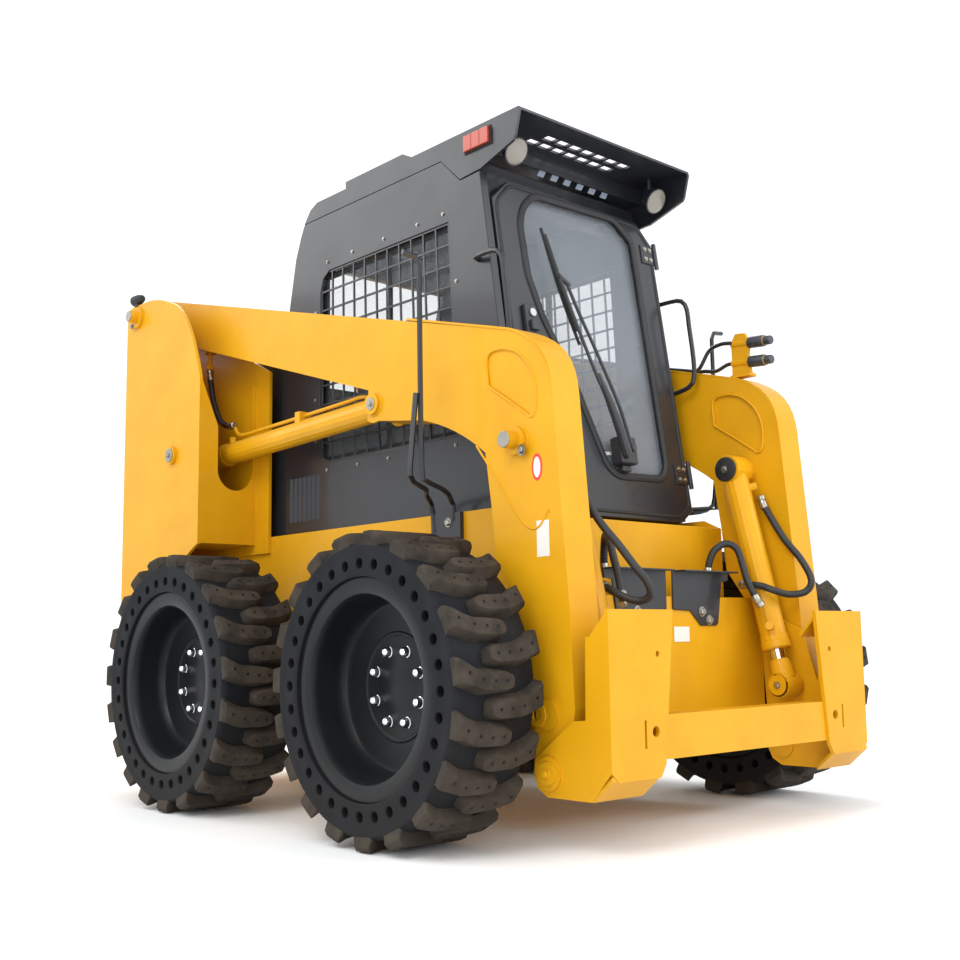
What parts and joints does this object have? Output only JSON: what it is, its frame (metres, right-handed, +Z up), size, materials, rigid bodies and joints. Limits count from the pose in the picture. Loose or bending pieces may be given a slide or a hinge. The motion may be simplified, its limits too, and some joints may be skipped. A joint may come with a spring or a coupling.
{
  "type": "skid steer loader",
  "caption": "Skid steer loader with a closed cab, solid tyres, radial lift arms, hydraulic cylinders and a quick hitch without a tool.",
  "frame": {"origin": "centre of the footprint on the ground", "axes": "+X forward towards the quick hitch, +Y to the machine's left, +Z up"},
  "size_m": [2.525, 1.86, 2.182],
  "materials": {
    "yellow_paint": "glossy yellow machine paint",
    "black_paint": "semi-gloss black paint",
    "rim_paint": "satin black paint",
    "tyre": "solid rubber, dark grey",
    "glass": "clear, lightly tinted",
    "chrome": "polished hard chrome",
    "hose": "matt black hose",
    "seat_cover": "black vinyl seat cover",
    "plastic": "matt dark grey plastic",
    "cast_grey": "grey casting"
  },
  "bodies": {
    "chassis": {"main_frame": "yellow_paint", "rear_bumper": "yellow_paint", "engine_block": "cast_grey", "engine_cover": "black_paint", "cab_roof": "black_paint", "cab_rear_wall": "black_paint", "cab_rear_glass": "glass", "cab_floor": "black_paint", "cab_front_frame": "black_paint", "seat_base": "plastic", "seat_cushion": "seat_cover", "seat_back": "seat_cover", "control_console": "plastic", "upright_right": "yellow_paint", "cab_side_right": "black_paint", "side_grille_right": "black_paint", "side_glass_right": "glass", "side_rod_right": "black_paint", "grab_handle_right": "black_paint", "upright_left": "yellow_paint", "cab_side_left": "black_paint", "side_grille_left": "black_paint", "side_glass_left": "glass", "side_rod_left": "black_paint", "grab_handle_left": "black_paint"},
    "lift_arm": {"arm_right": "yellow_paint", "arm_left": "yellow_paint", "arm_cross_member": "yellow_paint", "hose_bracket_right": "black_paint", "hose_bracket_left": "black_paint", "coupler_bracket": "yellow_paint", "tilt_hose_upper_right": "hose", "tilt_hose_lower_right": "hose", "lift_hose_right": "hose", "tilt_hose_upper_left": "hose", "tilt_hose_lower_left": "hose", "lift_hose_left": "hose"},
    "quick_hitch": {"hitch_frame": "yellow_paint"},
    "cab_door": {"cab_door_frame": "black_paint", "cab_door_glass": "glass"},
    "rear_door": {"rear_door": "yellow_paint"},
    "wheel_front_right": {"rim_front_right": "rim_paint", "tyre_front_right": "tyre"},
    "wheel_front_left": {"rim_front_left": "rim_paint", "tyre_front_left": "tyre"},
    "wheel_rear_right": {"rim_rear_right": "rim_paint", "tyre_rear_right": "tyre"},
    "wheel_rear_left": {"rim_rear_left": "rim_paint", "tyre_rear_left": "tyre"},
    "lift_barrel_right": {"lift_barrel_right": "yellow_paint"},
    "lift_rod_right": {"lift_rod_right": "chrome"},
    "tilt_barrel_right": {"tilt_barrel_right": "yellow_paint"},
    "tilt_rod_right": {"tilt_rod_right": "chrome"},
    "lift_barrel_left": {"lift_barrel_left": "yellow_paint"},
    "lift_rod_left": {"lift_rod_left": "chrome"},
    "tilt_barrel_left": {"tilt_barrel_left": "yellow_paint"},
    "tilt_rod_left": {"tilt_rod_left": "chrome"}
  },
  "joints": [
    {"name": "lift_arm_pivot", "type": "hinge", "parent": "chassis", "child": "lift_arm", "pos_m": [-1.0935, 0, 1.829], "axis": [0, -1, 0], "range_deg": [0, 64]},
    {"name": "hitch_tilt", "type": "hinge", "parent": "lift_arm", "child": "quick_hitch", "pos_m": [1.0495, 0, 0.2], "axis": [0, -1, 0], "range_deg": [-95, 8]},
    {"name": "wheel_front_right_spin", "type": "hinge", "parent": "chassis", "child": "wheel_front_right", "pos_m": [0.6745, -0.78, 0.419], "axis": [0, 1, 0], "continuous": true},
    {"name": "wheel_front_left_spin", "type": "hinge", "parent": "chassis", "child": "wheel_front_left", "pos_m": [0.6745, 0.78, 0.419], "axis": [0, 1, 0], "continuous": true},
    {"name": "wheel_rear_right_spin", "type": "hinge", "parent": "chassis", "child": "wheel_rear_right", "pos_m": [-0.4055, -0.78, 0.419], "axis": [0, 1, 0], "continuous": true},
    {"name": "wheel_rear_left_spin", "type": "hinge", "parent": "chassis", "child": "wheel_rear_left", "pos_m": [-0.4055, 0.78, 0.419], "axis": [0, 1, 0], "continuous": true},
    {"name": "cab_door_hinge", "type": "hinge", "parent": "chassis", "child": "cab_door", "pos_m": [0.78644, 0.404, 0.91188], "axis": [-0.1461, 0, 0.9893], "range_deg": [0, 60]},
    {"name": "rear_door_hinge", "type": "hinge", "parent": "chassis", "child": "rear_door", "pos_m": [-1.2005, 0.434, 0.9], "axis": [0, 0, -1], "range_deg": [0, 95]},
    {"name": "lift_barrel_right_swing", "type": "hinge", "parent": "lift_arm", "child": "lift_barrel_right", "pos_m": [0.2975, -0.521, 1.278], "axis": [0, -1, 0], "range_deg": [-2.89, 0.1], "deforming": ["lift_hose_right"]},
    {"name": "lift_rod_right_slide", "type": "slide", "parent": "lift_barrel_right", "child": "lift_rod_right", "axis": [-0.9993, 0, -0.0367], "range_m": [-0.001, 0.70063]},
    {"name": "tilt_barrel_right_swing", "type": "hinge", "parent": "lift_arm", "child": "tilt_barrel_right", "pos_m": [0.9395, -0.403, 1.077], "axis": [0, -1, 0], "range_deg": [-0.45, 4.25], "deforming": ["tilt_hose_upper_right", "tilt_hose_lower_right"]},
    {"name": "tilt_rod_right_slide", "type": "slide", "parent": "tilt_barrel_right", "child": "tilt_rod_right", "axis": [0.2282, 0, -0.9736], "range_m": [-0.02489, 0.28471]},
    {"name": "lift_barrel_left_swing", "type": "hinge", "parent": "lift_arm", "child": "lift_barrel_left", "pos_m": [0.2975, 0.521, 1.278], "axis": [0, -1, 0], "range_deg": [-2.89, 0.1], "deforming": ["lift_hose_left"]},
    {"name": "lift_rod_left_slide", "type": "slide", "parent": "lift_barrel_left", "child": "lift_rod_left", "axis": [-0.9993, 0, -0.0367], "range_m": [-0.001, 0.70063]},
    {"name": "tilt_barrel_left_swing", "type": "hinge", "parent": "lift_arm", "child": "tilt_barrel_left", "pos_m": [0.9395, 0.403, 1.077], "axis": [0, -1, 0], "range_deg": [-0.45, 4.25], "deforming": ["tilt_hose_upper_left", "tilt_hose_lower_left"]},
    {"name": "tilt_rod_left_slide", "type": "slide", "parent": "tilt_barrel_left", "child": "tilt_rod_left", "axis": [0.2282, 0, -0.9736], "range_m": [-0.02489, 0.28471]}
  ],
  "couplings": [
    {"joint": "lift_barrel_right_swing", "follows": "lift_arm_pivot", "ratio": -0.043532},
    {"joint": "lift_rod_right_slide", "follows": "lift_arm_pivot", "m_per_rad": 0.62634},
    {"joint": "tilt_barrel_right_swing", "follows": "hitch_tilt", "ratio": -0.043674},
    {"joint": "tilt_rod_right_slide", "follows": "hitch_tilt", "m_per_rad": -0.17111},
    {"joint": "lift_barrel_left_swing", "follows": "lift_arm_pivot", "ratio": -0.043532},
    {"joint": "lift_rod_left_slide", "follows": "lift_arm_pivot", "m_per_rad": 0.62634},
    {"joint": "tilt_barrel_left_swing", "follows": "hitch_tilt", "ratio": -0.043674},
    {"joint": "tilt_rod_left_slide", "follows": "hitch_tilt", "m_per_rad": -0.17111}
  ]
}
